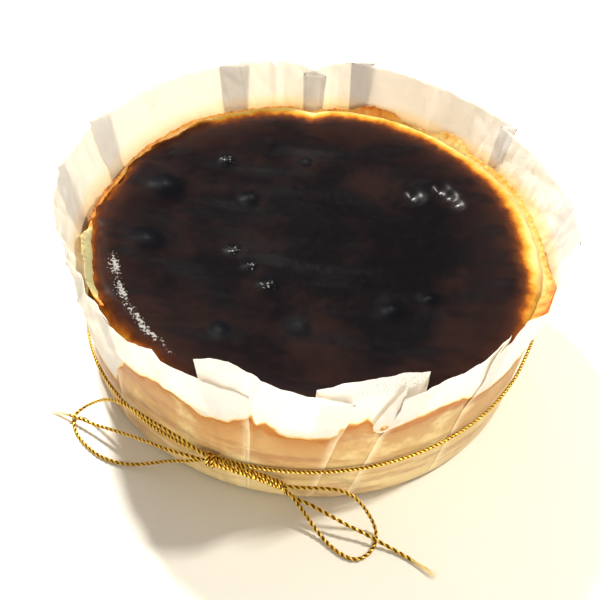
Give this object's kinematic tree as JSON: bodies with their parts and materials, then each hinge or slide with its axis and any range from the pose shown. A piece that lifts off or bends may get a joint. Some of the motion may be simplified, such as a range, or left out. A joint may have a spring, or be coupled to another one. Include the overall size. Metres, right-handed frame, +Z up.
{
  "type": "basque cheesecake",
  "caption": "Whole round burnt-top cheesecake in its pleated baking parchment case, tied round the side with a thin twisted gold string and a small bow.",
  "frame": {"origin": "middle of the case's outline, seen from above, on the surface that it stands on", "axes": "+Z up; the bow is at the front, on -Y; +X to the right of someone who faces the bow"},
  "size_m": [0.1351, 0.1448, 0.0491],
  "materials": {
    "baked_crust": "nearly black browned top with a soft gloss, amber at its edge; pale cream side",
    "parchment": "thin white baking parchment, soaked peach and tan with fat where it clings to the cake",
    "gold_cord": "twisted metallic gold thread"
  },
  "bodies": {
    "root": {"cake": "baked_crust", "paper_case": "parchment", "gold_string": "gold_cord"}
  },
  "joints": []
}
